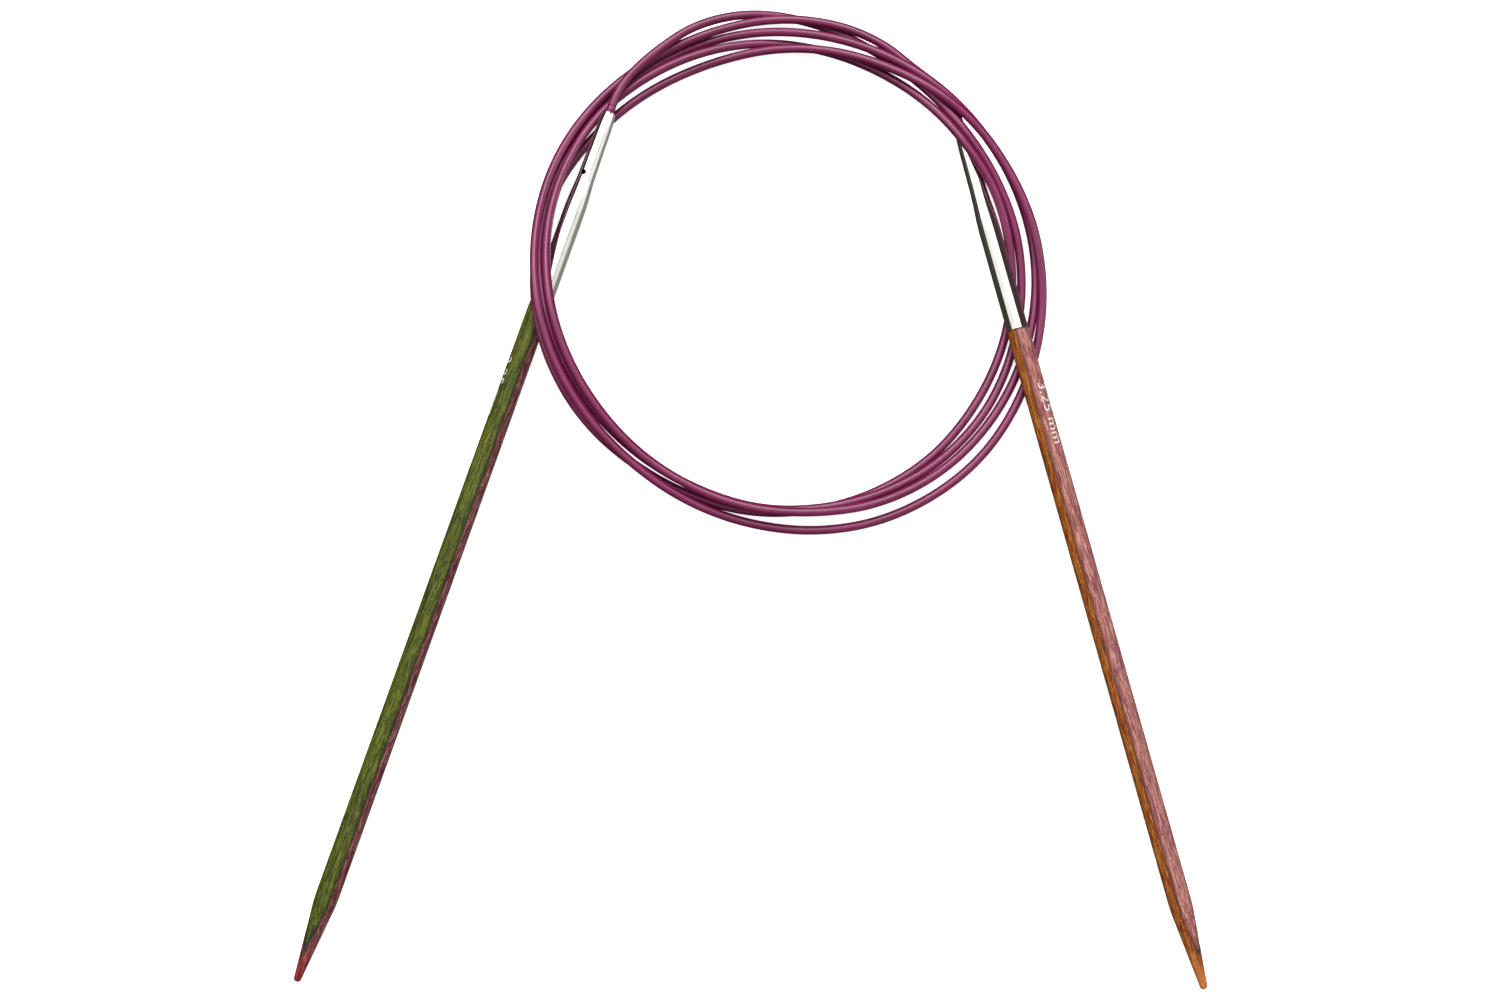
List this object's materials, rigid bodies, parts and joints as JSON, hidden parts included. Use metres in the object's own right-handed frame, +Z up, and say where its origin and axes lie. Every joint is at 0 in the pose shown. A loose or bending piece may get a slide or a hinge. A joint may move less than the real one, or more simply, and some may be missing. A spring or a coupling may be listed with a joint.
{
  "type": "circular knitting needle",
  "caption": "Fixed circular knitting needle: laminated wooden points with slim metal ferrules joined by one long flexible cord laid in a loose coil.",
  "frame": {"origin": "on the resting plane, under the middle of the box round the two needles with their ferrules", "axes": "+X to the right of a viewer looking down with the points towards them, +Y away from the points towards the coil, +Z up from the resting plane"},
  "size_m": [0.1256, 0.141, 0.0078],
  "materials": {
    "wood_green": "polished, stained olive green with dark and yellow grain streaks",
    "wood_burgundy": "polished, stained burgundy with dark grain",
    "wood_rose": "polished, stained rose with purple grain streaks",
    "wood_orange": "polished, stained orange with fine grain",
    "glue_line": "dark resin glue line, polished flush",
    "nickel": "mirror nickel plate on brass",
    "adhesive": "clear amber epoxy, hidden in the joint",
    "nylon": "smooth satin purple nylon, slightly translucent"
  },
  "bodies": {
    "cord": {"cord": "nylon"},
    "left_needle": {"left_ply_lower": "wood_green", "left_glue_lower": "glue_line", "left_ply_core": "wood_burgundy", "left_glue_upper": "glue_line", "left_ply_upper": "wood_green", "left_ferrule": "nickel", "left_tenon_adhesive": "adhesive", "left_cord_end": "nylon"},
    "right_needle": {"right_ply_lower": "wood_rose", "right_glue_lower": "glue_line", "right_ply_core": "wood_orange", "right_glue_upper": "glue_line", "right_ply_upper": "wood_rose", "right_ferrule": "nickel", "right_tenon_adhesive": "adhesive", "right_cord_end": "nylon"}
  },
  "joints": [
    {"name": "left_swing", "type": "hinge", "parent": "cord", "child": "left_needle", "pos_m": [-0.02014, 0.06281, 0.00339], "axis": [0, 0, 1], "range_deg": [0, 5], "stiffness_Nm_per_rad": 0.013},
    {"name": "right_swing", "type": "hinge", "parent": "cord", "child": "right_needle", "pos_m": [0.03028, 0.06014, 0.00377], "axis": [0, 0, 1], "range_deg": [-5, 0], "stiffness_Nm_per_rad": 0.013}
  ]
}
